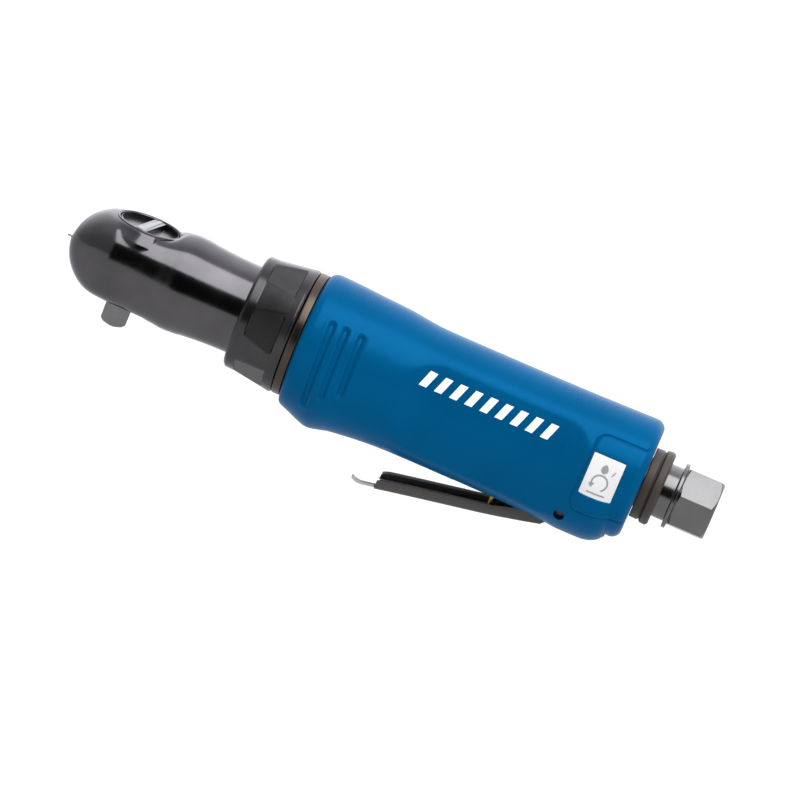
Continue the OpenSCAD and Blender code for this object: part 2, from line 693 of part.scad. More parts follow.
module inlet_screen() color(steel) difference() {
  bar_x(186.2, 189.4, 5.2);
  bar_x(186.9, 190, 4.6);
  for (x = [-2.6, 0, 2.6], y = [-2.6, 0, 2.6]) on_x(185) translate([x, y, 0])
    cylinder(r = 0.7, h = 3, $fn = 24);
}

module exhaust_deflector() color(black) difference() {
  spin_x([[0, 180.2], [11.6, 180.2], [12.1, 180.7], [12.1, 182.9], [11.6, 183.3], [11.6, 183.5],
    [12.5, 184], [12.7, 184.6], [12.7, 186.1], [12.1, 186.8], [0, 186.8]]);
  bar_x(170, 190, 9.2);
  for (k = [0:5]) on_x(179) rotate([0, 0, 60 * k]) translate([0, -1, 0]) cube([11, 2, 6]);
}

// ---- what is drawn ----

ratchet_housing();
nose_pin();
ratchet_spindle();
socket_ball();
ball_spring();
thrust_washer();
retaining_ring();
reverse_knob();
knob_plunger();
knob_spring();
pawl();
pawl_pin();
ratchet_yoke();
drive_bushing();
crankshaft();
planet_pins();
bearing_block();
crank_bearing();
gear_spacer();
ring_gear();
planet_gear_1();
planet_gear_2();
planet_gear_3();
gear_washer();
clamp_nut();
lock_ring();
front_end_plate();
front_rotor_bearing();
rotor();
vanes();
cylinder_liner();
rear_end_plate();
rear_rotor_bearing();
cylinder_pin();
housing_core();
grip_shell();
label_plate();
throttle_lever();
lever_pin();
throttle_valve();
valve_seal();
valve_bushing();
valve_o_ring();
valve_spring();
muffler_ring();
inlet_bushing();
inlet_o_ring();
inlet_screen();
exhaust_deflector();
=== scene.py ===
"""Air ratchet: detailed pieces, materials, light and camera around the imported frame."""
import json
import math

import bpy
import bmesh
import numpy as np
from mathutils import Matrix, Vector


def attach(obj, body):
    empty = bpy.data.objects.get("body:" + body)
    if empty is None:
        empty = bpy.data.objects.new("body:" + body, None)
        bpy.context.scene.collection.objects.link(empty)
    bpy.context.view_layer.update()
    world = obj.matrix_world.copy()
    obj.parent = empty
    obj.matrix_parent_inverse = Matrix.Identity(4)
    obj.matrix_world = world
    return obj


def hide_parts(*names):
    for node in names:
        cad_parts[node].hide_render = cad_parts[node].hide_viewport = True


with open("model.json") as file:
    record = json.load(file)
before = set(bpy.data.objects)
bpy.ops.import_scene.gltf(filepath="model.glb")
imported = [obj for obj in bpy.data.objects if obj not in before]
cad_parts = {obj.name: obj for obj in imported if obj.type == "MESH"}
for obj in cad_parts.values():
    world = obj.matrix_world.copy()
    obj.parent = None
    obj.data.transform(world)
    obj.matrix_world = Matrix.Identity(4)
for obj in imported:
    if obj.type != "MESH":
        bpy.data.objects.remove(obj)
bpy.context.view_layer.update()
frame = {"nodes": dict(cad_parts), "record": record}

MM = 0.001
AX = 14.6            # height of the handle axis above the socket seat, mm
ON_AXIS = 0.02       # radius that stands for a point on the axis, so that no face is empty, mm

# Camera: elevation, yaw and roll in degrees, distance and the point looked at in metres
ELEVATION, YAW, ROLL = 15.5, 3.2, 22.5
DISTANCE = 1.63
TARGET = (0.0970, 0.0, (AX - 7.2) * MM)
LENS, SENSOR = 225.0, 36.0


# ---------------------------------------------------------------- camera

def place_camera():
    """Camera with a long lens, above the tool and rolled so that the handle runs down to the right."""
    elev, yaw, roll = math.radians(ELEVATION), math.radians(YAW), math.radians(ROLL)
    away = Vector((math.sin(yaw) * math.cos(elev), -math.cos(yaw) * math.cos(elev), math.sin(elev)))
    right = Vector((math.cos(yaw), math.sin(yaw), 0.0))
    up = right.cross(-away).normalized()
    cam_right = math.cos(roll) * right + math.sin(roll) * up
    cam_up = -math.sin(roll) * right + math.cos(roll) * up
    data = bpy.data.cameras.new("camera")
    data.lens = LENS
    data.sensor_width = SENSOR
    data.clip_start, data.clip_end = 0.05, 60.0
    cam = bpy.data.objects.new("camera", data)
    bpy.context.scene.collection.objects.link(cam)
    rot = Matrix((cam_right, cam_up, away)).transposed()
    cam.matrix_world = Matrix.Translation(Vector(TARGET) + away * DISTANCE) @ rot.to_4x4()
    bpy.context.scene.camera = cam


# ---------------------------------------------------------------- node helpers

def math_node(tree, op, a, b=None):
    """Math node over numbers or sockets; its output socket."""
    node = tree.nodes.new("ShaderNodeMath")
    node.operation = op
    for i, v in enumerate((a, b)):
        if v is None:
            continue
        if isinstance(v, (int, float)):
            node.inputs[i].default_value = v
        else:
            tree.links.new(v, node.inputs[i])
    return node.outputs[0]


def range_node(tree, value, limits):
    """Map Range node with the four limits; the node."""
    node = tree.nodes.new("ShaderNodeMapRange")
    for i, v in enumerate(limits):
        node.inputs[1 + i].default_value = v
    tree.links.new(value, node.inputs[0])
    return node


class Shade:
    """Small builder for a node material."""

    def __init__(self, name):
        self.mat = bpy.data.materials.new(name)
        self.mat.use_nodes = True
        self.tree = self.mat.node_tree
        self.tree.nodes.clear()
        self.out = self.tree.nodes.new("ShaderNodeOutputMaterial")
        self.bsdf = self.tree.nodes.new("ShaderNodeBsdfPrincipled")
        self.tree.links.new(self.bsdf.outputs[0], self.out.inputs[0])
        self.coord = self.tree.nodes.new("ShaderNodeTexCoord")
        self.last_bump = None

    def link(self, a, b):
        self.tree.links.new(a, b)

    def set(self, **values):
        for key, value in values.items():
            self.bsdf.inputs[key.replace("_", " ")].default_value = value

    def position(self, scale):
        """Object position, stretched along its axes."""
        node = self.tree.nodes.new("ShaderNodeMapping")
        node.inputs["Scale"].default_value = scale
        self.link(self.coord.outputs["Object"], node.inputs["Vector"])
        return node.outputs[0]

    def noise(self, scale, detail=4.0, rough=0.55, vector=None, distortion=0.0):
        node = self.tree.nodes.new("ShaderNodeTexNoise")
        node.inputs["Scale"].default_value = scale
        node.inputs["Detail"].default_value = detail
        node.inputs["Roughness"].default_value = rough
        node.inputs["Distortion"].default_value = distortion
        self.link(vector or self.coord.outputs["Object"], node.inputs["Vector"])
        return node.outputs["Fac"]

    def range(self, value, a, b, c, d):
        return range_node(self.tree, value, (a, b, c, d)).outputs[0]

    def math(self, op, a, b=None):
        return math_node(self.tree, op, a, b)

    def mix(self, fac, a, b):
        node = self.tree.nodes.new("ShaderNodeMix")
        node.data_type = "RGBA"
        if isinstance(fac, (int, float)):
            node.inputs[0].default_value = fac
        else:
            self.link(fac, node.inputs[0])
        for i, v in ((6, a), (7, b)):
            if isinstance(v, tuple):
                node.inputs[i].default_value = (*v, 1.0) if len(v) == 3 else v
            else:
                self.link(v, node.inputs[i])
        return node.outputs[2]

    def axis(self, which):
        node = self.tree.nodes.new("ShaderNodeSeparateXYZ")
        self.link(self.coord.outputs["Object"], node.inputs[0])
        return node.outputs[which]

    def bump(self, height, distance, strength=1.0):
        node = self.tree.nodes.new("ShaderNodeBump")
        node.inputs["Distance"].default_value = distance
        node.inputs["Strength"].default_value = strength
        if self.last_bump is not None:
            self.link(self.last_bump, node.inputs["Normal"])
        self.link(height, node.inputs["Height"])
        self.last_bump = node.outputs[0]
        self.link(node.outputs[0], self.bsdf.inputs["Normal"])

    def colour(self, socket):
        self.link(socket, self.bsdf.inputs["Base Color"])

    def roughness(self, socket):
        self.link(socket, self.bsdf.inputs["Roughness"])


def metal(name, base, rough, spread=0.05, brushed=None, grain=900.0, grain_depth=4e-6, painted_top_highlight=None):
    """Metal with uneven polish, faint handling marks and, if asked, lathe or brush lines and a painted
    highlight above a given height.
    """
    s = Shade(name)
    s.set(Metallic=1.0, Specular_Tint=(0.75, 0.75, 0.77, 1.0))
    broad = s.noise(60.0, 3.0)
    fine = s.noise(grain, 5.0, 0.6)
    dark = tuple(c * 0.86 for c in base)
    light = tuple(min(1.0, c * 1.12) for c in base)
    tone = s.mix(s.range(broad, 0.35, 0.65, 0.0, 1.0), dark, light)
    # painted highlight: above the given height the colour turns lighter, standing in for the sky's reflection
    # on the top faces
    if painted_top_highlight:
        height, colour = painted_top_highlight
        tone = s.mix(s.range(s.axis("Z"), height - 0.0006, height, 0.0, 1.0), tone, colour)
    s.colour(tone)
    value = s.math("ADD", s.range(broad, 0.3, 0.7, rough - spread, rough + spread),
                   s.range(fine, 0.3, 0.7, -0.02, 0.02))
    s.roughness(value)
    if brushed:
        lines = s.noise(1.0, 3.0, 0.7, s.position(brushed))
        s.bump(lines, 6e-6, 0.5)
    s.bump(fine, grain_depth, 0.35)
    return s.mat


def make_materials():
    """All the materials of the scene, by name."""
    m = {}
    m["gunmetal"] = metal("black_nickel", (0.074, 0.071, 0.076), 0.16, 0.03, grain=1400.0, grain_depth=2e-6)
    m["nut_steel"] = metal("black_oxide", (0.046, 0.045, 0.047), 0.24, 0.05, brushed=(2600.0, 60.0, 60.0))
    m["lock_ring"] = metal("bronzed_steel", (0.060, 0.048, 0.040), 0.30, 0.05, brushed=(3000.0, 60.0, 60.0))
    m["drive_steel"] = metal("drive_steel", (0.14, 0.14, 0.145), 0.24, 0.05, brushed=(70.0, 70.0, 2600.0))
    # the top of the knob's bar gets a painted highlight, a lighter colour above 28.4 mm
    m["knob_steel"] = metal("knob_steel", (0.13, 0.13, 0.135), 0.30, 0.05, grain=2200.0,
                            painted_top_highlight=(0.0284, (0.24, 0.24, 0.245)))
    m["inlet_steel"] = metal("plated_steel", (0.112, 0.110, 0.112), 0.22, 0.05, brushed=(2400.0, 50.0, 50.0))
    m["inner_steel"] = metal("ground_steel", (0.45, 0.45, 0.46), 0.30, 0.05, brushed=(2400.0, 80.0, 80.0))
    m["alu"] = metal("machined_aluminium", (0.70, 0.71, 0.73), 0.35, 0.05, brushed=(2600.0, 60.0, 60.0))
    m["brass"] = metal("turned_brass", (0.66, 0.45, 0.17), 0.28, 0.05, brushed=(60.0, 60.0, 3000.0))

    s = Shade("blue_composite")
    broad = s.noise(35.0, 3.0)
    s.colour(s.mix(s.range(broad, 0.3, 0.7, 0.0, 1.0), (0.0, 0.070, 0.180), (0.0, 0.078, 0.200)))
    grain = s.noise(2600.0, 3.0, 0.5)
    s.roughness(s.math("ADD", s.range(broad, 0.3, 0.7, 0.28, 0.34), s.range(grain, 0.3, 0.7, -0.04, 0.04)))
    s.bump(grain, 3.0e-5, 0.45)
    s.set(Specular_IOR_Level=0.015, Metallic=0.16)
    m["blue_grip"] = s.mat

    s = Shade("lever_enamel")
    x = s.axis("X")
    wear = s.noise(500.0, 5.0, 0.6)
    edge = s.math("ADD", x, s.range(wear, 0.3, 0.7, -0.0006, 0.0006))
    bare = s.range(edge, 0.1006, 0.1001, 0.0, 1.0)
    # painted shade: faces that look up are painted nearly black, standing in for the shade inside the channel
    # and hiding the highlight on the flange tops
    geo = s.tree.nodes.new("ShaderNodeNewGeometry")
    split = s.tree.nodes.new("ShaderNodeSeparateXYZ")
    s.link(geo.outputs["Normal"], split.inputs[0])
    enamel_and_painted_shade = s.mix(s.range(split.outputs[2], 0.1, 0.6, 0.0, 1.0), (0.045, 0.040, 0.038), (0.003, 0.003, 0.002))
    s.colour(s.mix(bare, enamel_and_painted_shade, (0.42, 0.42, 0.43)))
    s.link(s.range(bare, 0.0, 1.0, 0.0, 1.0), s.bsdf.inputs["Metallic"])
    s.roughness(s.math("ADD", s.range(bare, 0.0, 1.0, 0.45, 0.34), s.range(wear, 0.3, 0.7, -0.03, 0.03)))
    s.bump(s.noise(900.0, 3.0), 1.2e-5, 0.35)
    m["lever_black"] = s.mat

    s = Shade("moulded_rubber")
    broad = s.noise(120.0, 4.0)
    s.colour(s.mix(broad, (0.020, 0.015, 0.011), (0.030, 0.023, 0.018)))
    s.roughness(s.range(broad, 0.3, 0.7, 0.52, 0.64))
    s.bump(s.noise(2400.0, 3.0), 2.5e-5, 0.5)
    m["rubber"] = s.mat

    s = Shade("vane_fibre")
    weave = s.noise(1.0, 4.0, 0.6, s.position((300.0, 2600.0, 2600.0)))
    s.colour(s.mix(weave, (0.11, 0.055, 0.02), (0.20, 0.11, 0.045)))
    s.roughness(s.range(weave, 0.3, 0.7, 0.5, 0.65))
    s.bump(weave, 3e-5, 0.5)
    m["vane"] = s.mat

    s = Shade("muffler_felt")
    fibre = s.noise(1500.0, 8.0, 0.75, distortion=1.5)
    s.colour(s.mix(fibre, (0.20, 0.20, 0.18), (0.36, 0.35, 0.32)))
    s.set(Roughness=0.95)
    s.bump(fibre, 2e-4, 0.8)
    m["felt"] = s.mat

    s = Shade("label_film")
    broad = s.noise(150.0, 3.0)
    s.colour(s.mix(broad, (0.60, 0.60, 0.61), (0.66, 0.66, 0.67)))
    s.roughness(s.range(broad, 0.3, 0.7, 0.34, 0.42))
    s.bump(s.noise(1200.0, 2.0), 8e-6, 0.3)
    m["label"] = s.mat

    s = Shade("label_ink")
    ink = s.noise(900.0, 4.0)
    s.colour(s.mix(ink, (0.20, 0.205, 0.21), (0.27, 0.275, 0.28)))
    s.roughness(s.range(ink, 0.3, 0.7, 0.45, 0.55))
    m["ink"] = s.mat

    s = Shade("pad_print_white")
    ink = s.noise(1100.0, 4.0)
    s.colour(s.mix(ink, (0.72, 0.78, 0.82), (0.80, 0.85, 0.88)))
    s.roughness(s.range(ink, 0.3, 0.7, 0.42, 0.52))
    m["print"] = s.mat
    return m


# ---------------------------------------------------------------- mesh helpers

def link_mesh(name, verts, faces, smooth=math.radians(32)):
    """Mesh object with the given points and faces, shaded smooth below the given angle."""
    me = bpy.data.meshes.new(name)
    me.from_pydata([tuple(v) for v in verts], [], faces)
    me.update()
    obj = bpy.data.objects.new(name, me)
    bpy.context.scene.collection.objects.link(obj)
    bm = bmesh.new()
    bm.from_mesh(me)
    bmesh.ops.remove_doubles(bm, verts=bm.verts, dist=1e-7)
    bmesh.ops.recalc_face_normals(bm, faces=bm.faces)
    bm.to_mesh(me)
    bm.free()
    shade(obj, smooth)
    return obj


def shade(obj, angle=math.radians(32)):
    """Smooth shading, with edges sharper than the angle kept sharp."""
    me = obj.data
    bm = bmesh.new()
    bm.from_mesh(me)
    for f in bm.faces:
        f.smooth = True
    for e in bm.edges:
        e.smooth = not (len(e.link_faces) == 2 and e.calc_face_angle(0.0) > angle)
    bm.to_mesh(me)
    bm.free()


def fillet(points, radius=0.4, segments=5):
    """Rounds the corners of an open outline; a point may carry its own radius as a third value."""
    out = [tuple(points[0][:2])]
    for i in range(1, len(points) - 1):
        p = Vector(points[i][:2])
        r = points[i][2] if len(points[i]) > 2 else radius
        a, b = Vector(points[i - 1][:2]) - p, Vector(points[i + 1][:2]) - p
        la, lb = a.length, b.length
        if r <= 0 or la < 1e-9 or lb < 1e-9:
            out.append(tuple(p))
            continue
        a.normalize()
        b.normalize()
        turn = a.angle(b)
        if turn > math.radians(178):
            out.append(tuple(p))
            continue
        cut = min(r / math.tan(turn / 2), la * 0.45, lb * 0.45)
        rr = cut * math.tan(turn / 2)
        centre = p + (a + b).normalized() * (rr / math.sin(turn / 2))
        s, e = p + a * cut - centre, p + b * cut - centre
        a0 = math.atan2(s.y, s.x)
        da = (math.atan2(e.y, e.x) - a0 + math.pi) % (2 * math.pi) - math.pi
        for k in range(segments + 1):
            t = a0 + da * k / segments
            out.append((centre.x + rr * math.cos(t), centre.y + rr * math.sin(t)))
    out.append(tuple(points[-1][:2]))
    return out


def densify(points, step):
    """The same line with points no further apart than the step."""
    out = [points[0]]
    for a, b in zip(points, points[1:]):
        n = max(1, int(math.ceil(math.hypot(b[0] - a[0], b[1] - a[1]) / step)))
        out += [(a[0] + (b[0] - a[0]) * k / n, a[1] + (b[1] - a[1]) * k / n) for k in range(1, n + 1)]
    return out


def grid_faces(m, n, closed):
    """Faces of m rings of n points, with the last ring joined to the first if closed."""
    rows = m if closed else m - 1
    i, j = np.meshgrid(np.arange(rows), np.arange(n), indexing="ij")
    i2, j2 = (i + 1) % m, (j + 1) % n
    return np.stack([i * n + j, i * n + j2, i2 * n + j2, i2 * n + j], -1).reshape(-1, 4).tolist()


def tube_faces(n):
    """Faces of a closed tube between two rings of n points."""
    ends = [list(range(n)), list(range(2 * n - 1, n - 1, -1))]
    return ends + [[k, (k + 1) % n, n + (k + 1) % n, n + k] for k in range(n)]


def around(cx, cy, r, degrees):
    """Point at a distance and an angle from a centre."""
    return (cx + r * math.cos(math.radians(degrees)), cy + r * math.sin(math.radians(degrees)))


def lathe(name, points, n=192, shape=None, axis="x", step=1.2, closed=True, smooth=32):
    """Surface of revolution from (station, radius) points in mm; shape(x, r, th) may bend the radius.
    Angle 0 looks at the label side, 90 degrees is up. On the Z axis, angle 0 is +X."""
    prof = np.array(densify(points, step))
    x, r = prof[:, :1], prof[:, 1:]
    th = np.arange(n)[None, :] * 2 * math.pi / n
    x = np.repeat(x, n, 1)
    r = np.repeat(r, n, 1)
    th = np.repeat(th, len(prof), 0)
    if shape:
        r = shape(x, r, th)
    if axis == "x":
        pts = np.stack([x, -r * np.cos(th), AX + r * np.sin(th)], -1)
    else:
        pts = np.stack([r * np.cos(th), r * np.sin(th), x], -1)
    faces = grid_faces(len(prof), n, closed)
    return link_mesh(name, pts.reshape(-1, 3) * MM, faces, math.radians(smooth))


def prism(name, outline, lo, hi, axis="z", smooth=32):
    """Closed prism of a flat outline in mm. axis z: outline in x, y. axis y: outline in x, z."""
    n = len(outline)
    verts = []
    for h in (lo, hi):
        for a, b in outline:
            verts.append(Vector((a, b, h) if axis == "z" else (a, h, b)) * MM)
    return link_mesh(name, verts, tube_faces(n), math.radians(smooth))


def rod(name, r, a, b, n=48):
    """Plain round cutter between two points in mm."""
    a, b = Vector(a), Vector(b)
    d = (b - a).normalized()
    u = d.orthogonal().normalized()
    v = d.cross(u)
    verts = [(p + r * (math.cos(t) * u + math.sin(t) * v)) * MM for p in (a, b)
             for t in (2 * math.pi * k / n for k in range(n))]
    return link_mesh(name, verts, tube_faces(n))


def apply_all(obj):
    """Replaces the mesh by the one that the modifiers make."""
    deps = bpy.context.evaluated_depsgraph_get()
    me = bpy.data.meshes.new_from_object(obj.evaluated_get(deps))
    old = obj.data
    obj.modifiers.clear()
    obj.data = me
    me.name = obj.name
    bpy.data.meshes.remove(old)


def carve(obj, cutters, op="DIFFERENCE", smooth=32):
    """Cuts the cutters out of a piece, or joins them to it, and drops them."""
    for c in cutters:
        mod = obj.modifiers.new("cut", "BOOLEAN")
        mod.operation = op
        mod.solver = "EXACT"
        mod.object = c
    apply_all(obj)
    for c in cutters:
        me = c.data
        bpy.data.objects.remove(c)
        bpy.data.meshes.remove(me)
    shade(obj, math.radians(smooth))
    return obj


def soften(obj, width, segments=3, angle=35):
    """Rounds the sharp edges of a low-density piece."""
    mod = obj.modifiers.new("bevel", "BEVEL")
    mod.width = width * MM
    mod.segments = segments
    mod.limit_method = "ANGLE"
    mod.angle_limit = math.radians(angle)
    mod.use_clamp_overlap = True
    apply_all(obj)
    shade(obj, math.radians(50))
    return obj


def put(obj, body, slot, mat, *nodes):
    """Gives a piece its material and its body and hides the CAD nodes it stands for; the slot is not used."""
    obj.data.materials.clear()
    obj.data.materials.append(mat)
    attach(obj, body)
    if nodes:
        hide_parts(*nodes)
    return obj


def smin(a, b, k):
    """Smaller of two values, rounded where they cross."""
    h = np.clip(0.5 + 0.5 * (b - a) / k, 0, 1)
    return b + (a - b) * h - k * h * (1 - h)


def smax(a, b, k):
    """Larger of two values, rounded where they cross."""
    return -smin(-a, -b, k)


def ease(x, a, b):
    """Smooth step from 0 at a to 1 at b."""
    t = np.clip((x - a) / (b - a), 0, 1)
    return t * t * (3 - 2 * t)


def arc(cx, cr, r, a0, a1, n):
    """Points of an arc between two angles, in degrees."""
    return [around(cx, cr, r, a0 + (a1 - a0) * i / n) for i in range(n + 1)]


# ---------------------------------------------------------------- ratchet head

NOSE_TIP = -22.8      # front end of the head, mm
HEAD_R = 16.3         # half the width of the head, mm
CROWN_R = 14.3        # half the height of its rounded section, mm
NOSE_X = -8.1         # station where the round nose ends, mm
RIM_UP = 13.85        # height of the rim around the knob above the handle axis, mm
TOP_Z = AX + RIM_UP
RIM_R = 11.35         # outer radius of the rim, mm
RECESS_R = 10.95      # radius of the recess inside the rim, before its lip, mm
RIM_SLOPE = 0.55      # widening of the boss under the rim, mm per mm
BOSS_R = 14.0         # largest radius of that boss, mm
FLAT_UP, FLAT_DOWN = 13.5, 14.0     # upper and lower flats of the head, from the handle axis, mm


def smooth_curve(points, n):
    """Catmull-Rom curve through (x, r) points."""
    pts = [points[0]] + list(points) + [points[-1]]
    out = []
    for i in range(1, len(pts) - 2):
        p0, p1, p2, p3 = (np.array(p) for p in pts[i - 1:i + 3])
        for k in range(n):
            t = k / n
            out.append(tuple(0.5 * (2 * p1 + (p2 - p0) * t + (2 * p0 - 5 * p1 + 4 * p2 - p3) * t * t
                                    + (3 * p1 - p0 - 3 * p2 + p3) * t ** 3)))
    out.append(tuple(points[-1]))
    return out


def table(points, n=10):
    """Dense lookup of a smooth curve through (x, r) points."""
    curve = smooth_curve(points, n)
    return np.array([p[0] for p in curve]), np.array([p[1] for p in curve])


def head():
    """Ratchet head: wider than high, flat above and below, with a raised rim around the knob's recess."""
    nose = arc(NOSE_TIP + HEAD_R, 0, HEAD_R, 180, 91, 40)
    nose[0] = (nose[0][0], ON_AXIS)
    neck = smooth_curve([(-6.0, HEAD_R), (0, HEAD_R), (8, 16.35), (12.4, 16.5), (16.0, 16.6), (20, 16.35),
                         (24, 15.85), (30, 15.42), (36, 15.22), (41.2, 15.2)], 6)
    rear = fillet([(41.2, 15.2), (41.3, 16.2), (44.6, 16.2), (44.6, 14.6), (42.5, 14.6), (42.5, 12.95),
                   (24.8, 12.95), (24.8, 12.6), (11.0, 12.6)], 0.15, 3)
    inner = [(11.0, ON_AXIS)]
    crown_x, crown_r = table([(NOSE_X, CROWN_R), (-3, CROWN_R), (3, 14.45), (8, 15.0), (12.4, 15.85),
                              (16, 16.45), (20, 16.35), (24, 15.85)], 6)

    def section(x, r, th):
        up = np.sin(th)
        nose_h = np.sqrt(np.maximum(CROWN_R ** 2 - (np.minimum(x, NOSE_X) - NOSE_X) ** 2, 1e-6))
        high = np.where(x < NOSE_X, nose_h, np.interp(x, crown_x, crown_r))
        high = high + np.where(up < 0, 0.5 * ease(x, -10, -2) * (1 - ease(x, 6, 14)), 0.0)
        n = 2.0 + 0.6 * ease(x, -20, -8) * (1 - ease(x, -2, 19))
        squash = (np.abs(np.cos(th)) ** n + (np.abs(up) * r / high) ** n) ** (-1 / n)
        outside = ((r > 14.0) | (x < 8)) & (x < 22.0)
        # the boss is a cone around the drive axis, met by a ray from the handle axis
        foot = RIM_R + 0.3 + RIM_SLOPE * RIM_UP
        lean = foot * RIM_SLOPE * up
        across = np.cos(th) ** 2 - (RIM_SLOPE * up) ** 2
        free = np.maximum(foot ** 2 - x * x, 0.0)
        boss = free / np.maximum(lean + np.sqrt(np.maximum(lean ** 2 + across * free, 0.01)), 0.5)
        drum = np.sqrt(np.maximum(BOSS_R ** 2 - x * x, 0.0)) / np.maximum(np.abs(np.cos(th)), 0.1)
        boss = np.where(up > 0.1, np.minimum(np.minimum(boss, drum), 19.0), 0.0) * (1 - ease(x, 4, 11))
        r = np.where(outside, smax(r * squash, boss, 1.2), r)
        rise = 5.5 * ease(x, 8.6, 17.0)
        top = np.where(up > 0.2, (FLAT_UP + rise) / np.maximum(up, 0.2), 99.0)
        low = np.where(up < -0.2, (FLAT_DOWN + rise) / np.maximum(-up, 0.2), 99.0)
        return np.where(outside | (r > 15), smin(smin(r, top, 0.8), low, 0.45), r)

    body = lathe("ratchet_head", nose + neck + rear[1:] + inner, 288, section, closed=False, step=0.45)
    rim = lathe("rim", fillet([(TOP_Z - 3.0, 10.0), (TOP_Z, 10.0), (TOP_Z, RIM_R, 0.3), (TOP_Z - 3.0, RIM_R),
                               (TOP_Z - 3.0, 10.0, 0)], 0.1, 4), 288, axis="z", closed=False)
    carve(body, [rim], "UNION")
    bend = 0.6
    lip = [(TOP_Z - bend + bend * math.sin(math.radians(a)), RECESS_R - bend * math.cos(math.radians(a)))
           for a in range(90, -1, -15)]
    recess = [(30.0, ON_AXIS), (30.0, RECESS_R)] + lip + [(22.2, 10.35), (22.2, ON_AXIS)]
    neck_bore = [(23, ON_AXIS), (23, 8.8), (19, 8.8), (19, ON_AXIS)]
    yoke_bore = [(20.2, ON_AXIS), (20.2, 11.9), (9.0, 11.9), (9.0, ON_AXIS)]
    journal = [(12, ON_AXIS), (12, 8.0), (0.9, 8.0), (0.5, 8.25), (-2, 8.25), (-2, ON_AXIS)]
    cutters = [
        lathe("c1", recess, 160, axis="z", closed=False),
        lathe("c2", neck_bore, 96, axis="z", closed=False),
        lathe("c3", yoke_bore, 96, axis="z", closed=False),
        lathe("c4", journal, 128, axis="z", closed=False),
        prism("c5", [(0, -11.9), (13, -11.9), (13, 11.9), (0, 11.9)], 9.0, 20.2),
        rod("c6", 0.95, (-24, 0, AX), (-16, 0, AX)),
    ]
    return carve(body, cutters, smooth=28)


SQUARE = 7.5          # length of the square drive, mm
SQUARE_HALF = 3.175   # half of its width across the flats, mm
SPINDLE_TURN = -35    # angle of the square at rest, degrees


def spindle():
    """Spindle with its collar, journal and flange, and the square with a bore for the socket ball."""
    a0 = math.radians(SPINDLE_TURN)
    prof = fillet([(-SQUARE, ON_AXIS), (-SQUARE, 3.3, 0.2), (0.8 - SQUARE, 4.3, 0.4), (-0.25, 4.42, 0.15),
                   (0.0, 4.6, 0.1), (0.0, 5.3, 0.1), (0.25, 5.5, 0.15), (0.6, 5.5, 0.1), (0.6, 7.5, 0.1),
                   (0.9, 7.95, 0.2), (9.1, 7.95), (9.1, 8.5), (22.85, 8.5),
                   (22.85, 10.35), (25.0, 10.35), (25.0, 3.25), (12.0, 3.25), (12.0, ON_AXIS)], 0.12, 4)

    def square(z, r, th):
        t = (th - a0 + math.pi / 4) % (math.pi / 2) - math.pi / 4
        side = SQUARE_HALF / np.cos(t)
        chamfer = np.clip((z + SQUARE) / 0.8, 0, 1)
        side = side * (0.90 + 0.10 * chamfer)
        return np.where(z < -0.12, smin(r, side, 0.12), r)

    body = lathe("spindle_and_square", prof, 240, square, axis="z", closed=False, step=0.9)

    def turn(x, y):
        return (x * math.cos(a0) - y * math.sin(a0), x * math.sin(a0) + y * math.cos(a0))

    outline = [(2.6, -4.6), (1.9, -9), (12, -9), (12, 9), (1.9, 9), (2.6, 4.6)]
    pocket = prism("p1", [turn(*p) for p in outline], 9.9, 19.3)
    px, py = turn(5.7, 0)
    bx, by = turn(0, 1)
    ball = rod("p3", 1.25, (bx * 1.5, by * 1.5, -3.7), (bx * 5, by * 5, -3.7))
    return carve(body, [pocket, rod("p2", 1.0, (px, py, 8), (px, py, 22.8)), ball], smooth=28)


KNOB_TURN = 80        # angle of the knob's bar at rest, degrees
POCKET_R = 9.75       # radius of the finger pockets, mm
POCKET_Z = 26.5       # floor of the pockets, mm


def knob():
    """Reverse knob: a disc with two finger pockets that leave a raised bar."""
    prof = fillet([(12.2, ON_AXIS), (12.2, 3.2), (25.05, 3.2), (25.05, 9.05), (26.1, 9.05), (26.1, 10.1),
                   (28.15, 10.1, 0.45), (28.15, ON_AXIS)], 0.12, 5)
    body = lathe("reverse_knob_disc", prof, 192, axis="z", closed=False, step=1.0)
    turn = math.radians(KNOB_TURN)

    def bar_half(x):
        """Half width of the bar, which widens to one end."""
        return 0.85 + 0.45 * (9.3 - x) / 18.6 + 0.35 * min(1.0, max(0.0, -x - 5.0) / 4.3) ** 2

    cutters = []
    for s in (-1, 1):
        out = []
        for k in range(33):
            a = math.radians(12 + 156 * k / 32) * s
            out.append((POCKET_R * math.cos(a), POCKET_R * math.sin(a)))
        edge = [(x, s * max(s * y, bar_half(x))) for x, y in out]
        outline = [(x * math.cos(turn) - y * math.sin(turn), x * math.sin(turn) + y * math.cos(turn))
                   for x, y in edge]
        cutters.append(prism("k%d" % s, outline, POCKET_Z, 30))
    body = carve(body, cutters, smooth=28)
    stations = [-9.5, -8.4, -7.3, -6.2, -5.0, 0.0, 9.5]
    bar = prism("kb", [(x, -bar_half(x)) for x in stations] + [(x, bar_half(x)) for x in reversed(stations)],
                26.4, 28.45)
    bar.data.transform(Matrix.Rotation(turn, 4, "Z"))
    soften(bar, 0.35, 3)
    carve(body, [bar], "UNION", 30)
    return body


# ---------------------------------------------------------------- clamp nut and ring

NUT_TILT = 5.5        # turn of the nut's flats, degrees
FLAT_X0, FLAT_X1 = 43.3, 53.9       # ends of the wrench flats, mm
FLAT_R = 18.8         # distance of the flats from the axis at their front end, mm
FLAT_RISE = 0.066     # how much they rise to the rear, mm per mm


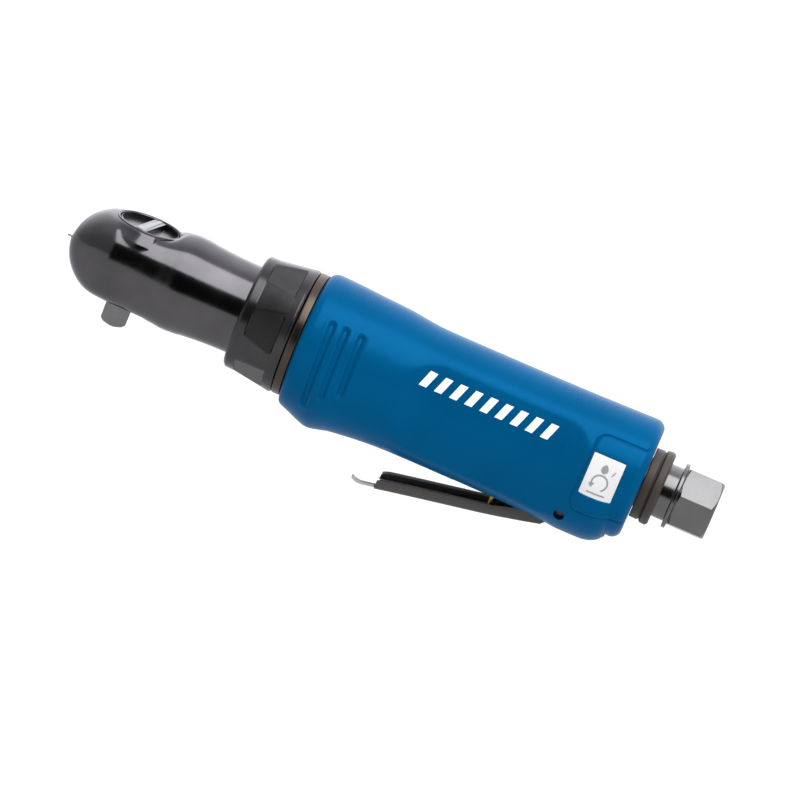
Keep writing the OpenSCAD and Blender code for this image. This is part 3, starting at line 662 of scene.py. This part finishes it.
def clamp_nut():
    """Clamp nut: a turned collar in front, then six tapered wrench flats with lands between them."""
    prof = fillet([(39.5, 15.35), (39.5, 18.6, 0.4), (40.3, 19.4, 0.5), (43.0, 19.5, 0.1), (43.15, 19.47, 0),
                   (43.3, 19.45, 0), (43.45, 19.47, 0), (53.5, 20.9, 0), (53.7, 20.93, 0), (53.9, 20.95, 0),
                   (56.4, 21.35, 0.5), (57.2, 20.9, 0.3), (57.2, 16.45), (41.3, 16.45), (41.3, 15.35),
                   (39.5, 15.35, 0)], 0.15, 5)
    tilt = math.radians(NUT_TILT)

    def flats(x, r, th):
        t = (th - tilt + math.pi / 6) % (math.pi / 3) - math.pi / 6
        flat = (FLAT_R + FLAT_RISE * (x - FLAT_X0)) / np.cos(t)
        milled = ease(x, 43.05, 43.4) * (1 - ease(x, 53.5, FLAT_X1))
        return np.where(r > 17.5, r + (smin(r, flat, 0.18) - r) * milled, r)

    return lathe("clamp_nut_body", prof, 600, flats, step=0.35, closed=False, smooth=26)


def lock_ring():
    """Plain ring that locks the clamp nut."""
    prof = fillet([(57.4, 16.45), (57.4, 21.1, 0.6), (60.5, 21.1, 0.6), (60.5, 16.45),
                   (57.4, 16.45, 0)], 0.2, 6)
    return lathe("lock_ring_body", prof, 192, closed=False, step=0.8)


# ---------------------------------------------------------------- grip

GRIP_X0, GRIP_X1 = 60.6, 180.0      # ends of the grip, mm
BELLY_X1 = 175.6      # rear end of the belly, mm
ROUND = 21.5          # radius that turns an angle into a length around the grip, mm
LABEL_X, LABEL_S = 167.6, 1.4       # middle of the label's print, along the grip and above mid height, mm
PIVOT_X, PIVOT_Z = 159.5, -2.3      # pivot of the throttle lever, mm
FLANK_R = 40.0        # radius of the flattened flanks, mm


def grip_radius(x, th):
    """Radius of the bare grip about the handle axis, in mm, at station x and angle th."""
    upper = np.interp(x, *UPPER)
    lower = np.interp(x, *LOWER)
    s, c = np.sin(th), np.cos(th)
    low = -4.0 * s + np.sqrt(np.maximum(lower ** 2 - 16.0 * c * c, 1.0))
    blend = smax(upper, low, 0.8)
    r = np.where(x > BELLY_X1, upper, blend)
    half = 17.8 + 6.0 * (1 - np.minimum(ease(x, 84, 108), ease(-x, -174, -150)))
    cu, cv = half - FLANK_R, -2.0
    dot = cu * np.abs(c) + cv * s
    side = dot + np.sqrt(np.maximum(dot * dot - (cu * cu + cv * cv) + FLANK_R ** 2, 0.0))
    return smin(r, side, 0.5)


# radius of the upper and the lower side along the grip
UPPER = table([(GRIP_X0, 20.9), (61.4, 22.0), (62.6, 22.6), (64.5, 22.8), (72, 22.5), (80, 22.0), (89, 21.5),
               (96, 20.7), (103, 20.2), (122, 20.1), (140, 20.1), (154, 20.2), (165, 20.4), (175.5, 20.6),
               (177.6, 20.5), (179.0, 19.7), (179.8, 18.6), (GRIP_X1, 17.4)])
LOWER = table([(GRIP_X0, 18.4), (61.4, 19.6), (65, 21.0), (69.5, 22.7), (72, 23.3), (74.2, 23.1), (77, 22.4),
               (80, 21.7), (89, 20.7), (97, 20.2), (105, 20.1), (122, 20.1), (140, 20.3), (154, 20.8),
               (160, 21.3), (167, 21.3), (169.5, 21.1), (171.8, 20.5), (173.8, 19.4), (175.0, 18.1),
               (BELLY_X1, 17.0), (BELLY_X1 + 0.1, 10.0), (190, 10.0)])


def capsule(x, s, x0, s0, s1, half):
    """Signed distance to a slot that runs along s at station x0."""
    ds = np.maximum(np.maximum(s0 - s, s - s1), 0.0)
    return np.hypot(x - x0, ds) - half


def rounded_box(x, s, x0, x1, s0, s1, r):
    """Signed distance to a box with rounded corners."""
    dx = np.abs(x - (x0 + x1) / 2) - (x1 - x0) / 2 + r
    ds = np.abs(s - (s0 + s1) / 2) - (s1 - s0) / 2 + r
    return np.hypot(np.maximum(dx, 0), np.maximum(ds, 0)) + np.minimum(np.maximum(dx, ds), 0) - r


def grip_detail(x, th):
    """Depth of the finger grooves, the rear panel and the label pocket, in mm."""
    fold = np.arcsin(np.clip(np.sin(th), -1, 1))     # both sides share one pattern
    s = fold * ROUND
    d = np.zeros_like(x)
    for x0, low in ((68.8, -41), (73.6, -29), (79.0, -23)):
        rake = 0.7 * (math.radians(31) * ROUND - s) / 25.0
        dist = capsule(x, s, x0 + rake, math.radians(low + 3) * ROUND, math.radians(32) * ROUND, 1.05)
        d -= 0.95 * ease(-dist, -0.5, 0.75)
        d += 0.12 * np.exp(-((dist - 0.9) / 0.5) ** 2)
    top, low = math.radians(42.5) * ROUND, math.radians(-33) * ROUND
    lean = 1.2 * (top - s) / (top - low)
    panel = rounded_box(x + lean, s, 161.6, 200.0, low, top, 3.6)
    line = np.exp(-(panel / 0.36) ** 2) * np.where(s > 0, ease(-x, -177.2, -176.6), 1.0)
    curl = np.abs(np.hypot(x - 176.8, s - top - 1.7) - 1.7)
    line = np.maximum(line, np.where((x > 176.8) & (s < top + 1.7), np.exp(-(curl / 0.36) ** 2), 0.0))
    d -= 0.42 * line
    d += 0.18 * ease(-panel, 0.3, 1.2)
    label = rounded_box(x, s, 162.25, 173.35, LABEL_S - 7.4, LABEL_S + 7.4, 0.5)
    d -= np.where(np.cos(th) > 0, 0.34 * ease(-label, -0.12, 0.12), 0.0)
    return d


def grip():
    """Grip shell with its finger grooves, rear panel, label pocket, lever slot and pivot holes."""
    stations = np.concatenate([
        np.linspace(GRIP_X0, 64.6, 18), np.linspace(64.6, 80, 90), np.linspace(80, 157, 70),
        np.linspace(157, 176, 110), 176 + 4 * np.sin(np.linspace(0, math.pi / 2, 22))])
    xs = np.array(sorted(set(np.round(stations, 4))))[:, None]
    front_r, rear_r = 16.25, 12.95
    inner = [(GRIP_X1, rear_r), (177.0, rear_r), (177.0, 16.6), (168.0, 16.6), (168.0, 13.45), (110.5, 13.45),
             (110.5, front_r), (GRIP_X0, front_r)]
    n = 420
    th = np.arange(n)[None, :] * 2 * math.pi / n
    x = np.repeat(xs, n, 1)
    t = np.repeat(th, len(xs), 0)
    r = grip_radius(x, t) + grip_detail(x, t) * ease(x, 61.5, 64) * ease(-x, -179.4, -178.6)
    front = [(np.full((1, n), GRIP_X0), front_r + (r[:1] - front_r) * f) for f in (0.0, 0.5)]
    rear = [(np.full((1, n), GRIP_X1), rear_r + (r[-1:] - rear_r) * 0.5)]
    back = [(np.full((1, n), a), np.full((1, n), b)) for a, b in densify(inner, 6.0)]
    rings = front + [(x, r)] + rear + back
    x = np.concatenate([a for a, _ in rings])
    r = np.concatenate([b for _, b in rings])
    t = np.repeat(th, len(x), 0)
    pts = np.stack([x, -r * np.cos(t), AX + r * np.sin(t)], -1)
    body = link_mesh("grip_body", pts.reshape(-1, 3) * MM, grid_faces(len(x), n, False))
    valve_slot = [(123, -30), (145, -30), (145, 0.5), (144, 0.5), (144, -5.5), (123, -5.5)]
    lever_slot = [(144, -30), (168.6, -30), (168.6, 1.3), (144, 1.3)]
    cutters = [
        prism("g1", valve_slot, -7.2, 7.2, "y"),
        prism("g2", lever_slot, -7.2, 7.2, "y"),
        rod("g3", 1.55, (PIVOT_X, -30, PIVOT_Z), (PIVOT_X, 30, PIVOT_Z)),
        rod("g4", 1.9, (PIVOT_X, -30, PIVOT_Z), (PIVOT_X, -12.6, PIVOT_Z)),
        rod("g5", 1.9, (PIVOT_X, 12.6, PIVOT_Z), (PIVOT_X, 30, PIVOT_Z)),
        rod("g6", 7.2, (137.5, 0, -10), (137.5, 0, 4)),
    ]
    return carve(body, cutters, smooth=30)


def on_grip(x, s, lift=0.0):
    """Point on the grip's left side at station x and arc length s above mid height, in mm."""
    th = np.array([[s / ROUND]])
    xx = np.array([[x]])
    r = float(grip_radius(xx, th)[0, 0]) + lift
    return Vector((x, -r * math.cos(s / ROUND), AX + r * math.sin(s / ROUND)))


def patch(name, outline, lift, depth, step=0.5):
    """Thin plate of a flat (x, s) outline laid on the grip's left side."""
    bm = bmesh.new()
    vs = [bm.verts.new((p[0], p[1], 0)) for p in densify(outline + [outline[0]], step)[:-1]]
    bm.faces.new(vs)
    bmesh.ops.triangulate(bm, faces=bm.faces[:])
    for _ in range(5):
        long_edges = [e for e in bm.edges if e.calc_length() > step * 2.2]
        if not long_edges:
            break
        bmesh.ops.bisect_edges(bm, edges=long_edges, cuts=1)
        bmesh.ops.triangulate(bm, faces=bm.faces[:])
    ret = bmesh.ops.extrude_face_region(bm, geom=bm.faces[:])
    moved = {v for v in ret["geom"] if isinstance(v, bmesh.types.BMVert)}
    for v in bm.verts:
        v.co = on_grip(v.co.x, v.co.y, lift if v in moved else lift - depth) * MM
    bmesh.ops.recalc_face_normals(bm, faces=bm.faces)
    me = bpy.data.meshes.new(name)
    bm.to_mesh(me)
    bm.free()
    obj = bpy.data.objects.new(name, me)
    bpy.context.scene.collection.objects.link(obj)
    shade(obj, math.radians(40))
    return obj


def stroke(points, width):
    """Outline of a line of even width through the points."""
    left, right = [], []
    for k, (px, py) in enumerate(points):
        ax, ay = points[max(k - 1, 0)]
        bx, by = points[min(k + 1, len(points) - 1)]
        size = math.hypot(bx - ax, by - ay)
        nx, ny = (ay - by) / size * width / 2, (bx - ax) / size * width / 2
        left.append((px + nx, py + ny))
        right.append((px - nx, py - ny))
    return left + right[::-1]


def rounded_rect(x0, x1, y0, y1, r, n=5):
    """Outline of a rectangle with rounded corners."""
    pts = []
    corners = ((x1 - r, y1 - r, 0), (x0 + r, y1 - r, 90), (x0 + r, y0 + r, 180), (x1 - r, y0 + r, 270))
    for cx, cy, a in corners:
        pts += [around(cx, cy, r, a + 90 * k / n) for k in range(n + 1)]
    return pts


# ---------------------------------------------------------------- lever

# underside of the lever from the tip of its tongue to the pivot
LEVER_LOW = [(92.0, -23.45), (95, -23.15), (99.5, -22.35), (110.5, -20.15), (123.2, -17.7), (137, -15.05),
             (147.4, -12.7), (155, -10.8)]
FLANGE_X, FLANGE_H = 100.4, 3.7     # front end and height of the channel's flanges, mm
SHEET, LEVER_HALF, TONGUE_HALF = 1.5, 6.2, 4.5      # sheet thickness and half widths, mm


def lever_section(x, z, half, height, bend):
    """Cross-section of the pressed sheet: a flat strip, or a channel where height is more than the sheet."""
    ring = []
    for s in (-1, 1):
        drop = min(0.6, height - SHEET)
        side = [(half - SHEET, z + SHEET), (half - SHEET, z + height - drop),
                (half - 0.4, z + height - 0.1 * drop), (half - 0.2, z + height),
                (half - 0.05, z + height - 0.08), (half, z + height - 0.3)]
        side += [(half - bend + bend * math.cos(a), z + bend - bend * math.sin(a))
                 for a in (math.radians(15 * k) for k in range(7))]
        side = [(s * y, zz) for y, zz in side]
        ring += side if s < 0 else side[::-1]
    return [Vector((x, y, zz)) * MM for y, zz in ring]


def lever():
    """Throttle lever: a tongue, then a channel of pressed sheet with an ear on each side of the pivot."""
    low_x, low_z = zip(*smooth_curve(LEVER_LOW, 6))

    def low(x):
        return float(np.interp(x, low_x, low_z))

    rings = []
    centre = LEVER_LOW[0][0] + TONGUE_HALF
    for k in range(13):
        a = math.radians(6 + 7 * k)
        x = centre - TONGUE_HALF * math.cos(a)
        rings.append(lever_section(x, low(x) + 0.5 * (1 - math.sin(a)), max(TONGUE_HALF * math.sin(a), 1.9),
                                   SHEET + 0.02, 0.45))
    for x in (98.0, 99.6, FLANGE_X):
        rings.append(lever_section(x, low(x), TONGUE_HALF, SHEET + 0.02, 0.45))
    for k, x in enumerate(np.linspace(FLANGE_X + 0.02, 155.0, 46)):
        height = FLANGE_H - (0.5, 0.15, 0.0)[min(k, 2)]
        if x > 138:
            height += (x - 138) * 0.09
        rings.append(lever_section(float(x), low(x), LEVER_HALF, height, 0.9))
    n = len(rings[0])
    faces = [list(range(n))[::-1], [(len(rings) - 1) * n + k for k in range(n)]]
    for i in range(len(rings) - 1):
        faces += [[i * n + k, i * n + (k + 1) % n, (i + 1) * n + (k + 1) % n, (i + 1) * n + k]
                  for k in range(n)]
    body = link_mesh("lever_channel", [v for ring in rings for v in ring], faces, math.radians(40))
    ears = []
    for s in (-1, 1):
        ear = [(148, -12.2), (155, -10.4), (160.4, -5.2)]
        ear += [around(PIVOT_X, PIVOT_Z, 3, a) for a in range(-60, 131, 15)] + [(148, -7.4)]
        lo, hi = sorted((s * (LEVER_HALF - SHEET), s * LEVER_HALF))
        ears.append(prism("e%d" % s, ear, lo, hi, "y"))
    carve(body, ears, "UNION")
    return carve(body, [rod("h", 1.6, (PIVOT_X, -20, PIVOT_Z), (PIVOT_X, 20, PIVOT_Z))])


# ---------------------------------------------------------------- rear end

HEX_X, HEX_HALF, HEX_TURN = 192.6, 9.5, 48          # front end, half width and turn of the inlet's hexagon
THREAD_PITCH, THREAD_DEPTH = 1.337, 0.62            # thread of the inlet, mm


def inlet():
    """Inlet bushing: screwed neck, collar, hexagon and threaded bore."""
    prof = fillet([(163.2, 4.4), (163.2, 8.6), (180.6, 8.6), (180.6, 9.15), (191, 9.15, 0.3),
                   (191, 11.15, 0.35), (192.3, 11.15, 0.35), (192.5, 9.9, 0.1), (192.75, 9.9, 0.1),
                   (193.3, 11.2, 0.3),
                   (204.0, 11.2, 0.4), (205.2, 9.2, 0.3), (205.2, 6.5, 0.2), (204.4, 5.72, 0.1),
                   (191.6, 5.72), (191.6, 5.2), (186.0, 5.2), (186.0, 4.4), (163.2, 4.4, 0)], 0.12, 4)

    def shape(x, r, th):
        t = (th - math.radians(HEX_TURN) + math.pi / 6) % (math.pi / 3) - math.pi / 6
        hexed = smin(r, HEX_HALF / np.cos(t), 0.3)
        r = np.where((x > HEX_X) & (r > 8.5), hexed, r)
        phase = (x / THREAD_PITCH - th / (2 * math.pi)) % 1.0
        ridge = np.abs(phase - 0.5) * 2
        thread = (r < 5.8) & (r > 5.6) & (x > 191.8)
        return np.where(thread, r + THREAD_DEPTH * ease(ridge, 0.1, 0.9), r)

    return lathe("inlet_bushing_body", prof, 288, shape, step=0.22, closed=False, smooth=30)


def deflector():
    """Rubber ring that turns the exhaust."""
    prof = fillet([(180.2, 9.25), (180.2, 12.0, 0.35), (182.9, 12.1, 0.4), (183.3, 11.65, 0.15),
                   (183.5, 11.65, 0.15), (184.0, 12.6, 0.6), (186.1, 12.7, 0.7), (186.8, 11.9, 0.4),
                   (186.8, 9.25), (180.2, 9.25, 0)], 0.2, 6)
    return lathe("exhaust_ring", prof, 192, step=0.5, closed=False)


# ---------------------------------------------------------------- build

def label_ink():
    """Outlines of the label's pictogram: a drop of oil above a turning arrow."""
    turn = [around(LABEL_X, LABEL_S - 1.9, 2.6, a) for a in range(-60, 215, 12)]
    drop = []
    for a in range(0, 360, 15):
        pinch = 1 - 0.45 * math.cos(math.radians(a / 2)) ** 6
        drop.append((LABEL_X + 1.25 * math.sin(math.radians(a)) * pinch,
                     LABEL_S + 3.0 + 1.6 * math.cos(math.radians(a))))
    x, s = turn[-1]
    return {
        "label_arrow": stroke(turn, 0.55),
        "label_arrow_head": [(x - 1.1, s + 0.2), (x + 0.9, s + 0.5), (x + 0.1, s - 1.2)],
        "label_drop": drop,
        "label_line": stroke([(164.6, LABEL_S - 5.7), (170.8, LABEL_S - 5.7)], 0.45),
        "label_tick": stroke([(170.4, LABEL_S + 1.6), (171.2, LABEL_S + 3.4)], 0.4),
    }


BAR_COUNT, BAR_X, BAR_STEP = 9, 101.6, 5.3      # slanted bars of the print: number, first station and step
BAR_LOW, BAR_HIGH, BAR_WIDTH, BAR_SLANT = 5.9, 12.2, 2.6, 2.0


def print_bar(k):
    """Outline of one slanted bar of the print."""
    x = BAR_X + BAR_STEP * k
    return [(x, BAR_LOW), (x + BAR_WIDTH, BAR_LOW), (x + BAR_WIDTH + BAR_SLANT, BAR_HIGH),
            (x + BAR_SLANT, BAR_HIGH)]


place_camera()
mats = make_materials()

put(head(), "housing", "gunmetal", mats["gunmetal"], "ratchet_housing")
put(spindle(), "spindle", "drive_steel", mats["drive_steel"], "ratchet_spindle")
put(knob(), "knob", "knob_steel", mats["knob_steel"], "reverse_knob")
put(clamp_nut(), "housing", "nut_steel", mats["nut_steel"], "clamp_nut")
put(lock_ring(), "housing", "lock_ring", mats["lock_ring"], "lock_ring")
put(grip(), "housing", "blue_grip", mats["blue_grip"], "grip_shell")
film = rounded_rect(162.35, 173.25, LABEL_S - 7.2, LABEL_S + 7.2, 0.25)
put(patch("label_film", film, 0.12, 0.4), "housing", "label", mats["label"], "label_plate")
for name, outline in label_ink().items():
    put(patch(name, outline, 0.17, 0.12, 0.4), "housing", "label", mats["ink"])
for k in range(BAR_COUNT):
    put(patch("print_bar_%d" % (k + 1), print_bar(k), 0.04, 0.2, 0.8), "housing", "label", mats["print"])
put(lever(), "lever", "lever_black", mats["lever_black"], "throttle_lever")
put(inlet(), "housing", "inlet_steel", mats["inlet_steel"], "inlet_bushing")
put(deflector(), "deflector", "rubber", mats["rubber"], "exhaust_deflector")

# nodes carried over from the CAD model
slots = {p["node"]: p["material_slot"] for p in frame["record"]["subparts"]}
for node, obj in frame["nodes"].items():
    obj.data.materials.clear()
    obj.data.materials.append(mats["inner_steel" if node == "nose_pin" else slots[node]])


# ---------------------------------------------------------------- floor and light

FLOOR_Z = -0.42       # height of the floor, m


def sky(tree, background):
    """Soft studio surround, brighter above and behind."""
    def step(value, a, b):
        node = range_node(tree, value, (a, b, 0.0, 1.0))
        node.interpolation_type = "SMOOTHSTEP"
        return node.outputs[0]

    def sum_of(*terms):
        """Sum of the axis sockets, each scaled by its weight."""
        parts = [socket if weight == 1 else math_node(tree, "MULTIPLY", socket, weight)
                 for socket, weight in terms]
        return math_node(tree, "ADD", *parts)

    coord = tree.nodes.new("ShaderNodeTexCoord")
    split = tree.nodes.new("ShaderNodeSeparateXYZ")
    tree.links.new(coord.outputs["Generated"], split.inputs[0])
    y, z = split.outputs[1:]
    lift = sum_of((z, 0.8), (y, 0.55))
    ramp = tree.nodes.new("ShaderNodeValToRGB")
    tree.links.new(step(lift, -0.6, 1.0), ramp.inputs[0])
    stops = ramp.color_ramp.elements
    stops[0].position, stops[0].color = 0.0, (0.44, 0.44, 0.45, 1)
    stops[1].position, stops[1].color = 1.0, (1.25, 1.26, 1.28, 1)
    mid = stops.new(0.5)
    mid.color = (0.60, 0.60, 0.61, 1)
    tree.links.new(ramp.outputs[0], background.inputs[0])
    behind = step(sum_of((y, 1), (z, 0.25)), 0.35, 1.0)
    strength = math_node(tree, "ADD", 1.0, math_node(tree, "MULTIPLY", behind, 1.2))
    tree.links.new(strength, background.inputs[1])


def studio():
    """Pale floor, soft surround, one overhead softbox and a black card for the metal's dark band."""
    scene = bpy.context.scene
    scene.view_settings.view_transform = "Standard"
    scene.view_settings.look = "None"
    s = Shade("paper_floor")
    s.colour(s.mix(s.noise(3.0, 3.0), (0.09, 0.09, 0.09), (0.10, 0.10, 0.10)))
    s.set(Roughness=0.9, Emission_Color=(1.0, 1.0, 1.0, 1.0), Emission_Strength=0.88)
    corners = [(-12, -12, FLOOR_Z), (12, -12, FLOOR_Z), (12, 16, FLOOR_Z), (-12, 16, FLOOR_Z)]
    floor = link_mesh("floor", corners, [[0, 1, 2, 3]])
    floor.data.materials.append(s.mat)

    world = bpy.data.worlds.new("studio")
    scene.world = world
    world.use_nodes = True
    background = world.node_tree.nodes["Background"]
    background.inputs[1].default_value = 1.0
    sky(world.node_tree, background)

    def area(name, place, aim, size, power):
        data = bpy.data.lights.new(name, "AREA")
        data.shape = "RECTANGLE"
        data.size, data.size_y = size
        data.energy = power
        lamp = bpy.data.objects.new(name, data)
        scene.collection.objects.link(lamp)
        lamp.location = place
        lamp.rotation_euler = (Vector(aim) - Vector(place)).to_track_quat("-Z", "Y").to_euler()

    area("overhead_softbox", (0.76, -1.4, 2.1), (0.76, -1.4, 0.0), (2.48, 2.6), 94)
    # black card in front of the tool, seen only in its reflections
    corners = [(-0.28, -1.5, -0.22), (0.8, -1.5, -0.22), (0.8, -1.5, 1.14), (-0.28, -1.5, 1.14)]
    flag = link_mesh("black_flag", corners, [[0, 1, 2, 3]])
    felt = Shade("flag_felt")
    felt.colour(felt.mix(felt.noise(40.0, 3.0), (0.004, 0.004, 0.004), (0.006, 0.006, 0.005)))
    felt.set(Roughness=1.0, Specular_IOR_Level=0.0)
    flag.data.materials.append(felt.mat)
    flag.visible_camera = flag.visible_diffuse = flag.visible_shadow = False


studio()
